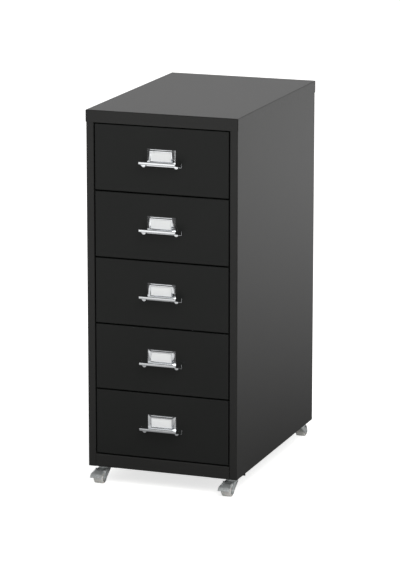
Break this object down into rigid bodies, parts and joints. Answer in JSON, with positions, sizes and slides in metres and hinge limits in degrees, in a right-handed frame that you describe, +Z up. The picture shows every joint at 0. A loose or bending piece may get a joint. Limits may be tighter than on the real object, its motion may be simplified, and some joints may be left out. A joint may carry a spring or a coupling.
{
  "type": "drawer cabinet",
  "caption": "Narrow steel cabinet with stacked drawers, chromed label pulls and small swivel casters for rolling under a desk.",
  "frame": {"origin": "floor, under the middle of the overall box", "axes": "+Z up, drawers open towards -Y, +X to the right seen from the front"},
  "size_m": [0.28, 0.455, 0.672],
  "materials": {
    "shell_paint": "fine matt powder coat, black, on folded steel sheet",
    "drawer_paint": "fine matt powder coat, black, on folded steel sheet",
    "plate_paint": "matt black paint on pressed steel plate",
    "runner_steel": "bright zinc-coated rolled steel strip",
    "screw_steel": "zinc-plated steel",
    "pull_chrome": "polished chrome plate on cast zinc",
    "card": "plain white card",
    "wheel_plastic": "moulded light grey nylon",
    "caster_zinc": "bright zinc plate on pressed steel"
  },
  "bodies": {
    "cabinet": {"back_panel": "shell_paint", "bottom_panel": "shell_paint", "caster_plates": "plate_paint", "caster_stem_front_left": "caster_zinc", "caster_stem_front_right": "caster_zinc", "caster_stem_rear_left": "caster_zinc", "caster_stem_rear_right": "caster_zinc", "runner_left_1": "runner_steel", "runner_left_2": "runner_steel", "runner_left_3": "runner_steel", "runner_left_4": "runner_steel", "runner_left_5": "runner_steel", "runner_right_1": "runner_steel", "runner_right_2": "runner_steel", "runner_right_3": "runner_steel", "runner_right_4": "runner_steel", "runner_right_5": "runner_steel", "shell_screws": "screw_steel", "side_panel_left": "shell_paint", "side_panel_right": "shell_paint", "top_panel": "shell_paint"},
    "drawer_1": {"drawer_front_1": "drawer_paint", "drawer_box_1": "drawer_paint", "pull_1": "pull_chrome", "label_card_1": "card", "pull_screws_1": "screw_steel"},
    "drawer_2": {"drawer_front_2": "drawer_paint", "drawer_box_2": "drawer_paint", "pull_2": "pull_chrome", "label_card_2": "card", "pull_screws_2": "screw_steel"},
    "drawer_3": {"drawer_front_3": "drawer_paint", "drawer_box_3": "drawer_paint", "pull_3": "pull_chrome", "label_card_3": "card", "pull_screws_3": "screw_steel"},
    "drawer_4": {"drawer_front_4": "drawer_paint", "drawer_box_4": "drawer_paint", "pull_4": "pull_chrome", "label_card_4": "card", "pull_screws_4": "screw_steel"},
    "drawer_5": {"drawer_front_5": "drawer_paint", "drawer_box_5": "drawer_paint", "pull_5": "pull_chrome", "label_card_5": "card", "pull_screws_5": "screw_steel"},
    "swivel_front_left": {"caster_fork_front_left": "caster_zinc", "caster_axle_front_left": "caster_zinc"},
    "wheel_front_left": {"caster_wheel_front_left": "wheel_plastic"},
    "brake_front_left": {"brake_lever_front_left": "caster_zinc"},
    "swivel_front_right": {"caster_fork_front_right": "caster_zinc", "caster_axle_front_right": "caster_zinc"},
    "wheel_front_right": {"caster_wheel_front_right": "wheel_plastic"},
    "brake_front_right": {"brake_lever_front_right": "caster_zinc"},
    "swivel_rear_left": {"caster_fork_rear_left": "caster_zinc", "caster_axle_rear_left": "caster_zinc"},
    "wheel_rear_left": {"caster_wheel_rear_left": "wheel_plastic"},
    "swivel_rear_right": {"caster_fork_rear_right": "caster_zinc", "caster_axle_rear_right": "caster_zinc"},
    "wheel_rear_right": {"caster_wheel_rear_right": "wheel_plastic"}
  },
  "joints": [
    {"name": "drawer_1_slide", "type": "slide", "parent": "cabinet", "child": "drawer_1", "axis": [0, -1, 0], "range_m": [0, 0.3]},
    {"name": "drawer_2_slide", "type": "slide", "parent": "cabinet", "child": "drawer_2", "axis": [0, -1, 0], "range_m": [0, 0.3]},
    {"name": "drawer_3_slide", "type": "slide", "parent": "cabinet", "child": "drawer_3", "axis": [0, -1, 0], "range_m": [0, 0.3]},
    {"name": "drawer_4_slide", "type": "slide", "parent": "cabinet", "child": "drawer_4", "axis": [0, -1, 0], "range_m": [0, 0.3]},
    {"name": "drawer_5_slide", "type": "slide", "parent": "cabinet", "child": "drawer_5", "axis": [0, -1, 0], "range_m": [0, 0.3]},
    {"name": "front_left_swivel", "type": "hinge", "parent": "cabinet", "child": "swivel_front_left", "pos_m": [-0.12, -0.17845, 0.0238], "axis": [0, 0, 1], "continuous": true},
    {"name": "front_left_wheel_spin", "type": "hinge", "parent": "swivel_front_left", "child": "wheel_front_left", "pos_m": [-0.12, -0.19845, 0.01], "axis": [1, 0, 0], "continuous": true},
    {"name": "front_left_brake", "type": "hinge", "parent": "swivel_front_left", "child": "brake_front_left", "pos_m": [-0.12, -0.19245, 0.0224], "axis": [1, 0, 0], "range_deg": [0, 7]},
    {"name": "front_right_swivel", "type": "hinge", "parent": "cabinet", "child": "swivel_front_right", "pos_m": [0.12, -0.17845, 0.0238], "axis": [0, 0, 1], "continuous": true},
    {"name": "front_right_wheel_spin", "type": "hinge", "parent": "swivel_front_right", "child": "wheel_front_right", "pos_m": [0.12, -0.19845, 0.01], "axis": [1, 0, 0], "continuous": true},
    {"name": "front_right_brake", "type": "hinge", "parent": "swivel_front_right", "child": "brake_front_right", "pos_m": [0.12, -0.19245, 0.0224], "axis": [1, 0, 0], "range_deg": [0, 7]},
    {"name": "rear_left_swivel", "type": "hinge", "parent": "cabinet", "child": "swivel_rear_left", "pos_m": [-0.12, 0.19755, 0.0238], "axis": [0, 0, 1], "continuous": true},
    {"name": "rear_left_wheel_spin", "type": "hinge", "parent": "swivel_rear_left", "child": "wheel_rear_left", "pos_m": [-0.12, 0.21755, 0.01], "axis": [1, 0, 0], "continuous": true},
    {"name": "rear_right_swivel", "type": "hinge", "parent": "cabinet", "child": "swivel_rear_right", "pos_m": [0.12, 0.19755, 0.0238], "axis": [0, 0, 1], "continuous": true},
    {"name": "rear_right_wheel_spin", "type": "hinge", "parent": "swivel_rear_right", "child": "wheel_rear_right", "pos_m": [0.12, 0.21755, 0.01], "axis": [1, 0, 0], "continuous": true}
  ]
}
